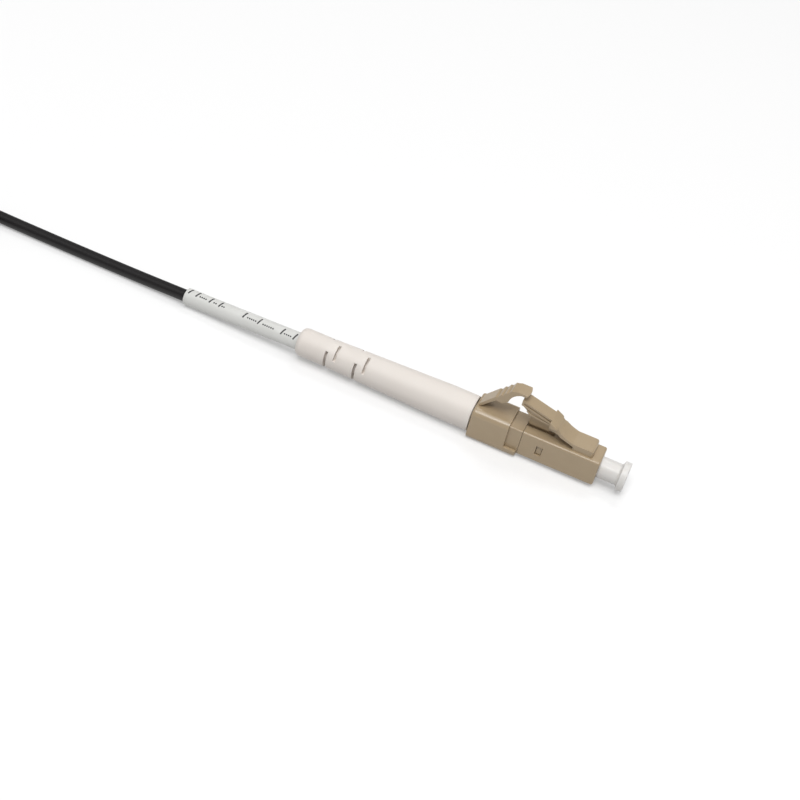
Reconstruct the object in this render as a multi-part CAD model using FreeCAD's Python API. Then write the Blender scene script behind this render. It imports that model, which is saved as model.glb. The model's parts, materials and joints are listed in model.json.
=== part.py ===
# One leg of a fibre breakout cable: a small square push-pull fibre plug with its dust cap,
# a slotted bend boot, a printed sleeve and a thin round cable whose spare length is a tied hank.
# Millimetres, +Z up. The origin is the centre of the plug's nose face, +X points out of the nose,
# and the plug lies on the flat underside of its trigger clip.
import FreeCAD, Part
import math
import os

Vec = FreeCAD.Vector

# Plug: a square nose housing and the rear body that snaps into it
plug_size = 4.52            # across the flats of the square plug
plug_edge = 0.2             # rounding along the plug's long edges
housing_length = 12.3       # nose face to the parting line
nose_bore_d = 3.6
nose_bore_depth = 2.3
nose_chamfer = 0.15
web = 0.6                   # wall behind the nose bore that stops the ferrule
web_hole_d = 1.7
cavity_d = 2.6              # room for the ferrule's spring and the rear body's barrel
window_from_nose = 9.22     # middle of the snap windows
window_drop = 0.1           # below the plug's axis
window_length = 0.98
window_height = 1.62
fit_gap = 0.05              # between faces that seat on each other
press_gap = 0.01            # between faces that are pressed or glued together

# Rear body
body_bore_d = 1.6
tab_recess = 0.3            # how far the snap tabs lie below the housing's sides
tab_gap = 0.09              # round each tab in its window
collar_show = 2.15          # square collar between the housing and the clip
post_d = 2.6                # crimp post behind the collar
post_length = 7.2
post_groove_depth = 0.08
post_groove_count = 1

# Trigger clip: a square ring round the collar, with a lip under the housing
clip_length = 6.05
clip_wall = 0.55
clip_end_wall = 0.55
clip_hole_d = 3.6
clip_top_radius = 1.1
clip_low_radius = 1.05
lip_reach = 1.95
lip_height = 1.36

# Latch: a sprung arm on the housing's top that rises to the rear
latch_base_from_nose = 1.43
latch_base_width = 3.45
latch_base_height = 1.1
latch_base_wrap = 0.1       # base's rear face ahead of the root's middle
latch_root_from_nose = 4.75
latch_root_rise = 0.86      # middle of the thin root above the plug's top
latch_root_thickness = 0.46
latch_neck_length = 3.05    # root to where the arm's curved neck ends
latch_neck_rise = 2.74      # top of the neck's end above the plug's top
latch_neck_sag = 0.27       # how far the neck's curve hangs below its chord
latch_shoulder_from_nose = 8.95
latch_shoulder_rise = 3.37
latch_shoulder_length = 1.05
latch_shoulder_width = 3.8
latch_shoulder_depth = 1.7  # top to underside, at the shoulders' rear faces
latch_arm_width = 2.35
latch_tail_from_nose = 13.95
latch_tail_rise = 4.69
latch_thickness = 0.9
latch_rib_width = 2.0
latch_rib_depth = 0.75      # below the arm
latch_rib_end = 1.55        # from the rib's full depth to the tail
latch_web_width = 0.6       # thin web under the rib, which a slot in the plug's top takes in
latch_web_rise = 0.45       # web's lower edge above the plug's top
latch_web_from_nose = 12.2
latch_slot_gap = 0.1        # on each side of the web
latch_slot_depth = 0.5

# Trigger: a sprung lever on the clip whose tip presses the latch's tail
trigger_width = 2.5
trigger_root_radius = 0.22
trigger_root_rise = 0.14    # pivot above the clip's top
trigger_root_from_rear = 0.41
trigger_overlap = 0.5       # tip's corners past the latch's tail
trigger_tip_crown = 0.24    # tip's middle ahead of its corners
trigger_gap = 0.68          # under the tip, to the tail
trigger_tip_thickness = 0.45
trigger_tip_length = 1.6
trigger_ramp = 0.55         # length of the ramp behind the flat tip
trigger_step_count = 3
trigger_step_run = 0.7
trigger_step_rise = 0.73
trigger_tread_run = 0.32
trigger_tread_rise = 0.04
trigger_knee_back = 2.5     # knee of the lever's underside, behind the tip's corners
trigger_knee_drop = 1.95    # below the tip's underside
trigger_hollow = 0.4        # bulge of the hollow between knee and tip
trigger_belly_back = 3.25   # lowest part of the finger piece
trigger_belly_drop = 2.64
trigger_bend_back = 4.3     # where the leg meets the finger piece, underneath
trigger_bend_drop = 2.76

# Ferrule set and dust cap
ferrule_d = 1.25
ferrule_proud = 1.9         # past the nose face
ferrule_length = 6.5
ferrule_chamfer = 0.22      # along the axis
ferrule_chamfer_depth = 0.13
fibre_d = 0.125
fibre_tail = 0.5            # bare fibre behind the ferrule
float_travel = 1.0
flange_across = 2.3         # corners of the six-sided flange
flange_length = 1.45
flange_tail_d = 1.5
flange_tail_length = 2.6
guide_d = 1.4
guide_length = 6.0
spring_wire_d = 0.25
spring_d = 2.3              # outside
spring_length = 3.3         # room between the flange and the rear body's barrel
spring_turns = 4
spring_steps = 12           # straight steps to a turn
spring_flats = 6
cap_tube_d = 3.36
cap_tube_reach = 0.8        # into the nose bore
cap_tube_show = 3.15
cap_flange_d = 4.64
cap_flange_length = 1.2
cap_bevel = 0.2
cap_wall = 0.75             # closed end ahead of the ferrule
cap_grip_gap = 0.03

# Crimp, cable and boot
buffer_d = 0.9
buffer_gap = 0.05
cable_d = 2.0
yarn_thickness = 0.12
yarn_from_collar = 0.7
crimp_wall = 0.25
crimp_neck_length = 4.8
crimp_cone = 0.6
boot_length = 29.9
boot_front_d = 5.7
boot_front_straight = 4.4   # before the taper
boot_rear_d = 4.62
boot_rear_straight = 4.7    # behind the taper
boot_front_round = 0.15
boot_rear_round = 0.5       # across the wall
boot_rear_crown = 0.9       # along the axis
boot_bore_d = 2.9
boot_mouth_d = 3.6
boot_mouth_depth = 4.6
slot_width = 0.42
slot_depth = 0.55           # at the boot's end; a thin inner wall is left
slot_pair_pitch = 5.0       # from one pair of slot rings to the next
slot_ring_step = 1.55       # between the two rings of a pair
slot_from_rear = 5.25       # boot's end to the rearmost ring
wide_slot_angle = 103.0
narrow_slot_angle = 70.0
wide_slot_turn = 11.5
narrow_slot_turn = 132.0

# Printed sleeve shrunk on the cable
sleeve_d = 2.85
sleeve_gap = 0.09
sleeve_inside = 3.9         # hidden in the boot
sleeve_show = 20.7

# Hank: the spare cable wound in long flat turns and strapped
hank_fold_radius = 8.0      # of the outer lane's middle
hank_run = 29.0             # straight part of each turn
hank_lanes = 2
hank_layers = 2
hank_start = 57.6           # boot's end to the front of the hank
tie_width = 8.0
tie_thickness = 0.35
tie_corner = 0.5

# Places along the axis, from the nose back
plug_half = plug_size / 2
clip_half = plug_half + fit_gap + clip_wall
floor_z = -clip_half
web_rear_x = -nose_bore_depth - web
housing_rear_x = -housing_length
clip_front_x = housing_rear_x - collar_show
clip_rear_x = clip_front_x - clip_length
collar_rear_x = clip_rear_x + clip_end_wall + fit_gap
post_rear_x = collar_rear_x - post_length
boot_front_x = clip_rear_x - fit_gap
boot_rear_x = boot_front_x - boot_length
ferrule_tip_x = ferrule_proud
ferrule_rear_x = ferrule_proud - ferrule_length
flange_front_x = web_rear_x - fit_gap
flange_rear_x = flange_front_x - flange_length
flange_tail_x = flange_rear_x - flange_tail_length
barrel_front_x = flange_rear_x - spring_length
buffer_front_x = ferrule_rear_x - float_travel - fibre_tail
jacket_x = post_rear_x - crimp_cone - fit_gap
crimp_end_x = jacket_x - crimp_neck_length
crimp_inner_r = post_d / 2 + yarn_thickness + fit_gap
crimp_outer_r = crimp_inner_r + crimp_wall
latch_pivot = Vec(-latch_root_from_nose, 0, plug_half + latch_root_rise)
latch_root_radius = latch_root_thickness / 2
trigger_pivot = Vec(clip_rear_x + trigger_root_from_rear, 0, clip_half + trigger_root_rise)


def block(x0, x1, y0, y1, z0, z1):
    return Part.makeBox(x1 - x0, y1 - y0, z1 - z0, Vec(x0, y0, z0))


def rod(d, x0, x1):
    return Part.makeCylinder(d / 2, x1 - x0, Vec(x0, 0, 0), Vec(1, 0, 0))


def turned(profile):
    # Turns a closed outline of (x, radius) points about the X axis
    points = [Vec(x, 0, r) for x, r in profile]
    face = Part.Face(Part.makePolygon(points + points[:1]))
    return face.revolve(Vec(0, 0, 0), Vec(1, 0, 0), 360)


def lies_along_x(edge):
    return abs(edge.tangentAt(edge.FirstParameter).x) > 0.99


def square_bar(size, x0, x1, edge_radius):
    half = size / 2
    bar = block(x0, x1, -half, half, -half, half)
    return bar.makeFillet(edge_radius, [e for e in bar.Edges if lies_along_x(e)])


def across(edges, width):
    # Extrudes a closed side outline, drawn in the XZ plane, to a width centred on Y
    face = Part.Face(Part.Wire(edges))
    face.translate(Vec(0, -width / 2, 0))
    return face.extrude(Vec(0, width, 0))


def chain(points):
    return [Part.LineSegment(a, b).toShape() for a, b in zip(points, points[1:])]


def side(x, z):
    return Vec(x, 0, z)


def upright(points, z0, z1):
    # Extrudes a closed plan outline of (x, half width) points, mirrored about the X axis
    near = [Vec(x, -half, z0) for x, half in points]
    far = [Vec(x, half, z0) for x, half in reversed(points)]
    face = Part.Face(Part.makePolygon(near + far + near[:1]))
    return face.extrude(Vec(0, 0, z1 - z0))


def cross_rod(pivot, radius, width):
    return Part.makeCylinder(radius, width, pivot - Vec(0, width / 2, 0), Vec(0, 1, 0))


def snap_block(length, reach, height):
    # A block across the plug at the snap windows
    x = -window_from_nose
    z = -window_drop
    return block(x - length / 2, x + length / 2, -reach, reach, z - height / 2, z + height / 2)


def front_housing():
    body = square_bar(plug_size, housing_rear_x, 0, plug_edge)
    nose = [e for e in body.Edges if e.BoundBox.XMin > -fit_gap]
    body = body.makeChamfer(nose_chamfer, nose)
    body = body.cut(rod(nose_bore_d, -nose_bore_depth, 1))
    body = body.cut(rod(web_hole_d, web_rear_x - 1, 0))
    body = body.cut(rod(cavity_d, housing_rear_x - 1, web_rear_x))
    top = plug_half
    body = body.cut(snap_block(window_length, plug_size, window_height))
    slot_front_x = latch_shoulder_length - latch_shoulder_from_nose
    slot_half = latch_web_width / 2 + latch_slot_gap
    body = body.cut(block(housing_rear_x - 1, slot_front_x, -slot_half, slot_half,
                          top - latch_slot_depth, top + 1))
    base = block(latch_pivot.x + latch_base_wrap, -latch_base_from_nose,
                 -latch_base_width / 2, latch_base_width / 2, top - fit_gap, top + latch_base_height)
    base = base.cut(cross_rod(latch_pivot, latch_root_radius + fit_gap, 2 * latch_base_width))
    return body.fuse(base).removeSplitter()


def latch_lever():
    # A curved neck, locking shoulders and a straight arm, with a stiffening rib and a thin web under it
    top = plug_half
    root_top = side(latch_pivot.x, latch_pivot.z + latch_root_radius)
    root_low = side(latch_pivot.x, latch_pivot.z - latch_root_radius)
    neck = side(latch_pivot.x - latch_neck_length, top + latch_neck_rise)
    shoulder = side(-latch_shoulder_from_nose, top + latch_shoulder_rise)
    tail = side(-latch_tail_from_nose, top + latch_tail_rise)
    lower = Vec(0, 0, -latch_thickness)
    neck_middle = (root_top + neck) * 0.5 + Vec(0, 0, -latch_neck_sag)
    outline = [Part.Arc(root_top, neck_middle, neck).toShape()]
    outline += chain([neck, shoulder, tail, tail + lower, shoulder + lower,
                      shoulder + Vec(0, 0, -latch_shoulder_depth), root_low, root_top])
    arm = across(outline, latch_shoulder_width)
    wide = latch_shoulder_width / 2
    narrow = latch_base_width / 2
    slim = latch_arm_width / 2
    shoulder_front_x = shoulder.x + latch_shoulder_length
    plan = upright([(latch_pivot.x + 1, narrow), (shoulder_front_x + 2 * (wide - narrow), narrow),
                    (shoulder_front_x, wide), (shoulder.x, wide), (shoulder.x, slim),
                    (tail.x - 1, slim)], top - 1, tail.z + 1)
    into = lower * 0.5
    ahead = (shoulder - tail) * (1 / (shoulder.x - tail.x))
    deep = lower + Vec(0, 0, -latch_rib_depth)
    run_out = tail + ahead * (0.6 * latch_rib_end) + (lower + deep) * 0.5
    rib_front = shoulder + ahead * (0.5 * latch_shoulder_length)
    rib = across(chain([tail + into, tail + lower, run_out, tail + ahead * latch_rib_end + deep,
                        rib_front + deep, rib_front + into, tail + into]), latch_rib_width)
    web_z = top + latch_web_rise
    web_top = tail + ahead * (latch_tail_from_nose - latch_web_from_nose) + into
    blade = across(chain([web_top, side(web_top.x, web_z), side(shoulder.x, web_z), rib_front + deep * 0.9,
                          rib_front + into, web_top]), latch_web_width)
    root = cross_rod(latch_pivot, latch_root_radius, latch_base_width)
    return arm.common(plan).fuse([rib, blade, root]).removeSplitter()


def rear_body():
    # Barrel with two snap tabs, square collar and grooved crimp post, bored for the buffer
    body = rod(cavity_d - 2 * fit_gap, housing_rear_x - 2 * fit_gap, barrel_front_x)
    body = body.fuse(snap_block(window_length - 2 * tab_gap, plug_half - tab_recess,
                                window_height - 2 * tab_gap))
    body = body.fuse(square_bar(plug_size, collar_rear_x, housing_rear_x - fit_gap, plug_edge))
    body = body.fuse(rod(post_d, post_rear_x, collar_rear_x))
    pitch = post_length / (post_groove_count + 1)
    for i in range(post_groove_count):
        x = collar_rear_x - pitch * (i + 1)
        groove = rod(2 * post_d, x - pitch / 4, x + pitch / 4)
        body = body.cut(groove.cut(rod(post_d - 2 * post_groove_depth, x - pitch, x + pitch)))
    return body.cut(rod(body_bore_d, post_rear_x - 1, barrel_front_x + 1)).removeSplitter()


def trigger_clip():
    # Square ring with soft long corners, an end wall, a lip under the housing and a root groove
    half = clip_half
    ring = block(clip_rear_x, clip_front_x, -half, half, -half, half)
    upper = [e for e in ring.Edges if lies_along_x(e) and e.CenterOfMass.z > 0]
    ring = ring.makeFillet(clip_top_radius, upper)
    low_z = -half + lip_height
    lip = block(clip_front_x - fit_gap, clip_front_x + lip_reach, -half, half, -half, low_z)
    ring = ring.fuse(lip).removeSplitter()
    lower = [e for e in ring.Edges if lies_along_x(e) and e.CenterOfMass.z < fit_gap - half]
    ring = ring.makeFillet(clip_low_radius, lower)
    inner = plug_half + fit_gap
    room = square_bar(2 * inner, clip_rear_x + clip_end_wall, clip_front_x + lip_reach + 1, plug_edge)
    ring = ring.cut(room).cut(rod(clip_hole_d, clip_rear_x - 1, clip_front_x))
    return ring.cut(cross_rod(trigger_pivot, trigger_root_radius + fit_gap, trigger_width + 2 * fit_gap))


def trigger_lever():
    # Stepped finger face above, hollow below, round at the root
    tail_top = plug_half + latch_tail_rise
    front_x = trigger_overlap - latch_tail_from_nose
    under_z = tail_top + trigger_gap
    top_z = under_z + trigger_tip_thickness
    ramp_x = front_x - trigger_tip_length
    back = side(ramp_x - trigger_ramp, top_z - trigger_step_rise * 0.3)
    treads = []
    foot = back - Vec(trigger_tread_run, 0, trigger_tread_rise)
    for i in range(trigger_step_count):
        edge = foot - Vec(trigger_step_run - trigger_tread_run, 0, trigger_step_rise - trigger_tread_rise)
        treads += [foot, edge]
        foot = edge - Vec(trigger_tread_run, 0, trigger_tread_rise)
    leg = (foot - trigger_pivot).normalize()
    off = Vec(-leg.z, 0, leg.x)
    root_top = trigger_pivot + off * trigger_root_radius
    root_low = trigger_pivot - off * trigger_root_radius
    knee = side(front_x - trigger_knee_back, under_z - trigger_knee_drop)
    hollow_end = side(front_x - trigger_tip_length / 2, under_z)
    chord = hollow_end - knee
    bulge = Vec(-chord.z, 0, chord.x).normalize() * trigger_hollow
    belly = side(front_x - trigger_belly_back, under_z - trigger_belly_drop)
    bend = side(front_x - trigger_bend_back, under_z - trigger_bend_drop)
    crown_x = front_x + trigger_tip_crown
    outline = chain([side(crown_x, under_z), side(crown_x, top_z), side(ramp_x, top_z), back] + treads
                    + [foot, root_top, root_low, bend, belly, knee])
    outline.append(Part.Arc(knee, (knee + hollow_end) * 0.5 + bulge, hollow_end).toShape())
    outline += chain([hollow_end, side(crown_x, under_z)])
    half = trigger_width / 2
    plan = upright([(clip_rear_x - 1, half), (front_x, half), (front_x + 0.75 * trigger_tip_crown, half / 2),
                    (crown_x, half / 8)], 0, top_z + 1)
    lever = across(outline, trigger_width).common(plan)
    return lever.fuse(cross_rod(trigger_pivot, trigger_root_radius, trigger_width)).removeSplitter()


def ferrule():
    r = ferrule_d / 2
    pin = turned([(ferrule_rear_x, 0), (ferrule_rear_x, r), (ferrule_tip_x - ferrule_chamfer, r),
                  (ferrule_tip_x, r - ferrule_chamfer_depth), (ferrule_tip_x, 0)])
    return pin.cut(rod(fibre_d + press_gap, ferrule_rear_x - 1, ferrule_tip_x + 1))


def ferrule_flange():
    # Six-sided flange with a tail tube, pressed on the ferrule
    corners = [Vec(flange_rear_x, flange_across / 2 * math.cos(math.radians(60 * i)),
                   flange_across / 2 * math.sin(math.radians(60 * i))) for i in range(7)]
    nut = Part.Face(Part.makePolygon(corners)).extrude(Vec(flange_length, 0, 0))
    body = nut.fuse(rod(flange_tail_d, flange_tail_x, flange_rear_x + fit_gap))
    body = body.cut(rod(ferrule_d + press_gap, ferrule_rear_x - fit_gap, flange_front_x + 1))
    return body.cut(rod(buffer_d + 2 * buffer_gap, flange_tail_x - 1, ferrule_rear_x)).removeSplitter()


def guide_tube():
    x = flange_tail_x - press_gap
    tube = rod(guide_d, x - guide_length, x)
    return tube.cut(rod(buffer_d + 2 * buffer_gap, x - guide_length - 1, x + 1))


def spring():
    # Wire of a few flats, wound in short straight steps between the flange and the barrel
    wire_r = spring_wire_d / 2
    middle_r = spring_d / 2 - wire_r
    length = spring_length - 2 * fit_gap - spring_wire_d
    start_x = barrel_front_x + fit_gap + wire_r
    count = spring_turns * spring_steps
    points = []
    for i in range(count + 1):
        turn = 2 * math.pi * i / spring_steps
        points.append(Vec(start_x + length * i / count, middle_r * math.cos(turn), middle_r * math.sin(turn)))
    ahead = (points[1] - points[0]).normalize()
    up = ahead.cross(Vec(0, 1, 0)).normalize()
    out = up.cross(ahead)
    section = []
    for i in range(spring_flats + 1):
        turn = 2 * math.pi * i / spring_flats
        section.append(points[0] + out * (wire_r * math.cos(turn)) + up * (wire_r * math.sin(turn)))
    mitred = 1
    return Part.makePolygon(points).makePipeShell([Part.makePolygon(section)], True, False, mitred)


def dust_cap():
    tube_r = cap_tube_d / 2
    flange_r = cap_flange_d / 2
    front_x = cap_tube_show + cap_flange_length
    bevel_x = cap_tube_show + cap_bevel
    bore_x = front_x - cap_wall
    bore_r = ferrule_d / 2 + cap_grip_gap
    edge = cap_bevel / 2
    return turned([(-cap_tube_reach, bore_r), (-cap_tube_reach, tube_r), (cap_tube_show, tube_r),
                   (bevel_x, flange_r), (front_x - edge, flange_r), (front_x, flange_r - edge),
                   (front_x, 0), (bore_x, 0), (bore_x, bore_r)])


def bare_fibre():
    return rod(fibre_d, ferrule_rear_x - fibre_tail, ferrule_tip_x)


def tight_buffer():
    return rod(buffer_d, jacket_x, buffer_front_x)


def aramid_yarn():
    # Spread from the cable's end over the crimp post
    inner_r = post_d / 2 + press_gap
    outer_r = inner_r + yarn_thickness
    core_r = buffer_d / 2 + buffer_gap
    front_x = collar_rear_x - yarn_from_collar
    back_x = post_rear_x - fit_gap
    last_x = jacket_x + press_gap
    return turned([(front_x, inner_r), (front_x, outer_r), (back_x, outer_r),
                   (last_x, cable_d / 2), (last_x, core_r), (back_x, inner_r)])


def crimp_sleeve():
    # Wide over the post and the yarn, narrow on the cable's jacket
    neck_r = cable_d / 2 + 2 * press_gap
    front_x = collar_rear_x - fit_gap
    step_x = post_rear_x - fit_gap
    cone_x = step_x - crimp_cone
    return turned([(front_x, crimp_inner_r), (front_x, crimp_outer_r), (step_x, crimp_outer_r),
                   (cone_x, neck_r + crimp_wall), (crimp_end_x, neck_r + crimp_wall), (crimp_end_x, neck_r),
                   (cone_x, neck_r), (step_x, crimp_inner_r)])


def boot_slot(x, turn, angle):
    pie = Part.makeCylinder(boot_front_d, slot_width, Vec(0, 0, 0), Vec(0, 0, 1), angle)
    pie.rotate(Vec(0, 0, 0), Vec(0, 1, 0), 90)
    pie.rotate(Vec(0, 0, 0), Vec(1, 0, 0), 90 + turn - angle / 2)
    pie.translate(Vec(x - slot_width / 2, 0, 0))
    return pie.cut(rod(boot_rear_d - 2 * slot_depth, x - slot_width, x + slot_width))


def boot():
    front_r = boot_front_d / 2
    rear_r = boot_rear_d / 2
    crown_x = boot_rear_x + boot_rear_crown
    half_turn = math.sin(math.radians(45))
    bevel_x = boot_rear_x + boot_rear_crown * (1 - half_turn)
    bevel_r = rear_r - boot_rear_round * (1 - half_turn)
    socket_r = crimp_outer_r + fit_gap
    socket_x = crimp_end_x - 2 * fit_gap
    mouth_x = boot_rear_x + boot_mouth_depth
    body = turned([(boot_front_x, front_r - boot_front_round), (boot_front_x - boot_front_round, front_r),
                   (boot_front_x - boot_front_straight, front_r), (boot_rear_x + boot_rear_straight, rear_r),
                   (crown_x, rear_r), (bevel_x, bevel_r), (boot_rear_x, rear_r - boot_rear_round),
                   (boot_rear_x, boot_mouth_d / 2), (mouth_x, boot_mouth_d / 2),
                   (mouth_x, boot_bore_d / 2), (socket_x, boot_bore_d / 2), (socket_x, socket_r),
                   (boot_front_x, socket_r)])
    for pair in range(2):
        wide_x = boot_rear_x + slot_from_rear + pair * slot_pair_pitch
        for opposite in (0, 180):
            body = body.cut(boot_slot(wide_x, wide_slot_turn + opposite, wide_slot_angle))
            body = body.cut(boot_slot(wide_x + slot_ring_step, narrow_slot_turn + opposite,
                                      narrow_slot_angle))
    return body


# Cable route: straight runs with tangent arcs, as large as the runs allow
lying_z = floor_z + cable_d / 2
hank_z = floor_z + tie_thickness + fit_gap
hank_front_x = boot_rear_x - hank_start
hank_fold_x = hank_front_x - hank_fold_radius - cable_d / 2
hank_lane_y = 1.3
hank_middle_y = hank_lane_y - hank_fold_radius
route = [
    Vec(jacket_x, 0, 0),
    Vec(boot_rear_x + 10.4, 0, 0),
    Vec(boot_rear_x - 5.6, 0.1, -0.5),
    Vec(boot_rear_x - 19.6, 0.8, -1.36),
    Vec(boot_rear_x - 33.6, 1.2, lying_z),
    Vec(boot_rear_x - 50.6, 1.35, lying_z + 0.02),
    Vec(hank_fold_x, hank_lane_y, hank_z + cable_d / 2),
]


def route_wire(points):
    edges = []
    start = points[0]
    for before, point, after in zip(points, points[1:], points[2:]):
        into = (point - before).normalize()
        out = (after - point).normalize()
        half_turn = into.getAngle(out) / 2
        cut = 0.45 * min((point - before).Length, (after - point).Length)
        radius = cut / math.tan(half_turn)
        inward = (out - into).normalize()
        middle = point + inward * (math.hypot(radius, cut) - radius)
        first = point - into * cut
        last = point + out * cut
        edges.append(Part.LineSegment(start, first).toShape())
        edges.append(Part.Arc(first, middle, last).toShape())
        start = last
        print("cable bend radius %.1f mm" % radius)
    edges.append(Part.LineSegment(start, points[-1]).toShape())
    return Part.Wire(edges)


def tube_on(wire, d):
    start = wire.Edges[0].valueAt(wire.Edges[0].FirstParameter)
    ahead = wire.Edges[0].tangentAt(wire.Edges[0].FirstParameter)
    section = Part.Wire(Part.makeCircle(d / 2, start, ahead))
    return wire.makePipeShell([section], True, False)


cable_path = route_wire(route)


def cable():
    tube = tube_on(cable_path, cable_d)
    expected = math.pi * cable_d ** 2 / 4 * cable_path.Length
    print("cable tube volume %.2f, section by length %.2f mm3" % (tube.Volume, expected))
    return tube


def on_cable(x):
    # The middle of the cable at a place along the axis
    reach = 2 * sleeve_d
    corners = [Vec(x, y, z) for y, z in ((-reach, -reach), (reach, -reach), (reach, reach), (-reach, reach))]
    wall = Part.Face(Part.makePolygon(corners + corners[:1]))
    return cable_path.section(wall).Vertexes[0].Point


def label_sleeve():
    # One even curve from the boot's mouth, because the shrunk sleeve stiffens the cable
    front_x = boot_rear_x + sleeve_inside
    rear_x = boot_rear_x - sleeve_show
    curve = [on_cable(x) for x in (front_x, (front_x + rear_x) / 2, rear_x)]
    line = Part.Wire(Part.Arc(*curve).toShape())
    return tube_on(line, sleeve_d).cut(tube_on(line, cable_d + 2 * sleeve_gap))


def hank_outline(radius):
    # A long loop of two straight runs and two half turns
    front_x = hank_fold_x
    rear_x = hank_fold_x - hank_run

    def at(x, y):
        return Vec(x, hank_middle_y + y, hank_z)

    near = Part.LineSegment(at(front_x, -radius), at(rear_x, -radius)).toShape()
    rear = Part.Arc(at(rear_x, -radius), at(rear_x - radius, 0), at(rear_x, radius)).toShape()
    far = Part.LineSegment(at(rear_x, radius), at(front_x, radius)).toShape()
    front = Part.Arc(at(front_x, radius), at(front_x + radius, 0), at(front_x, -radius)).toShape()
    return Part.Face(Part.Wire([near, rear, far, front]))


hank_outer_radius = hank_fold_radius + cable_d / 2
hank_height = hank_layers * cable_d


def cable_hank():
    up = Vec(0, 0, hank_height)
    outer = hank_outline(hank_outer_radius).extrude(up)
    return outer.cut(hank_outline(hank_outer_radius - hank_lanes * cable_d).extrude(up))


def hank_tie():
    # Flat strap round the middle of the hank
    middle_x = hank_fold_x - hank_run / 2
    half_y = hank_outer_radius + fit_gap

    def wrapped(thickness):
        return block(middle_x - tie_width / 2, middle_x + tie_width / 2,
                     hank_middle_y - half_y - thickness, hank_middle_y + half_y + thickness,
                     hank_z - fit_gap - thickness, hank_z + hank_height + fit_gap + thickness)

    strap = wrapped(tie_thickness)
    strap = strap.makeFillet(tie_corner, [e for e in strap.Edges if lies_along_x(e)])
    return strap.cut(wrapped(0))


pieces = [front_housing, latch_lever, rear_body, trigger_clip, trigger_lever, ferrule, ferrule_flange,
          guide_tube, spring, dust_cap, bare_fibre, tight_buffer, aramid_yarn, crimp_sleeve, boot,
          cable, label_sleeve, cable_hank, hank_tie]

os.makedirs("parts", exist_ok=True)
for piece in pieces:
    shape = piece()
    shape.exportStep("parts/%s.step" % piece.__name__)
    print("%-15s volume %9.3f solids %d valid %s" % (
        piece.__name__, shape.Volume, len(shape.Solids), shape.isValid()))
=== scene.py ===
# Leg of a fibre breakout cable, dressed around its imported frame: a beige latching plug with a milky
# dust cap, a white bend boot, a printed sleeve and a thin black cable whose spare length is a tied hank
import json
import math

import bmesh
import bpy
from mathutils import Matrix, Vector

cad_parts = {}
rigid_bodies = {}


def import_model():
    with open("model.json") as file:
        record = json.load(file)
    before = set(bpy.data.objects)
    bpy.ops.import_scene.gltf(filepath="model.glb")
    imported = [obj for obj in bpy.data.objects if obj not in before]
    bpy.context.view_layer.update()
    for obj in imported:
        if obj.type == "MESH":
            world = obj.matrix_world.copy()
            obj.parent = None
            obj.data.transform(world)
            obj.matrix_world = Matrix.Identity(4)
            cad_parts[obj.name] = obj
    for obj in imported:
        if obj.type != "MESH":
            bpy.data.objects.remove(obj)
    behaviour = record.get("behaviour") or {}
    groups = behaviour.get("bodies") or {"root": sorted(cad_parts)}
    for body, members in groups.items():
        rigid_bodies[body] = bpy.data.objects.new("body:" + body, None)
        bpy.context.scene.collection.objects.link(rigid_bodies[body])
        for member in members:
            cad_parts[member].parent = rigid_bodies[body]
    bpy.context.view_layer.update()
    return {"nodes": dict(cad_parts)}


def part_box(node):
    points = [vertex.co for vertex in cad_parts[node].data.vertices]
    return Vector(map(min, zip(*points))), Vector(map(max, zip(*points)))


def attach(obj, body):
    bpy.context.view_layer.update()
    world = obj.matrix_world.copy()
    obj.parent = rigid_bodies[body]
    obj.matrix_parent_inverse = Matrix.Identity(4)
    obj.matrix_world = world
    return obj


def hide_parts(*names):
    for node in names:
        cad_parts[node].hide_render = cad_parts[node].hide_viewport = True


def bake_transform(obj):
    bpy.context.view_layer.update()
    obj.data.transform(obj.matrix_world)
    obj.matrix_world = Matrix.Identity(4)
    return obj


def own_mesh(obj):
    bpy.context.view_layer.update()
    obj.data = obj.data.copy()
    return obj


bpy.ops.object.select_all(action="SELECT")
bpy.ops.object.delete()  # the default cube, light and camera
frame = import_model()
mm = 0.001  # pieces are modelled in millimetres and brought to metres when they are finished
past = 1.0  # how far a cutter reaches past the faces that it opens
near = 0.01  # how close to a plane or a point an edge lies to be picked with it
aligned = 0.9  # least cosine at which an edge or a face counts as turned along an axis
seam = 0.0005  # points closer than this become one where a spin closes
print("frame loaded,", len(frame["nodes"]), "nodes")


# Bench helpers

def pickOnly(obj):
    bpy.ops.object.select_all(action="DESELECT")
    obj.select_set(True)
    bpy.context.view_layer.objects.active = obj


def applyModifier(obj, kind, **settings):
    modifier = obj.modifiers.new(kind.title(), kind)
    for name, value in settings.items():
        setattr(modifier, name, value)
    pickOnly(obj)
    bpy.ops.object.modifier_apply(modifier=modifier.name)


def addBlock(name, low, high):
    bpy.ops.object.select_all(action="DESELECT")
    bpy.ops.mesh.primitive_cube_add(size=1, location=[(a + b) / 2 for a, b in zip(low, high)])
    block = bpy.context.object
    block.name = name
    block.scale = [b - a for a, b in zip(low, high)]
    bpy.ops.object.transform_apply(location=True, rotation=True, scale=True)
    return block


def addRod(name, diameter, rear, front, sides=72):
    bpy.ops.object.select_all(action="DESELECT")
    bpy.ops.mesh.primitive_cylinder_add(vertices=sides, radius=diameter / 2, depth=front - rear,
                                        location=((front + rear) / 2, 0, 0), rotation=(0, math.pi / 2, 0))
    rod = bpy.context.object
    rod.name = name
    bpy.ops.object.transform_apply(location=True, rotation=True, scale=True)
    return rod


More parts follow.
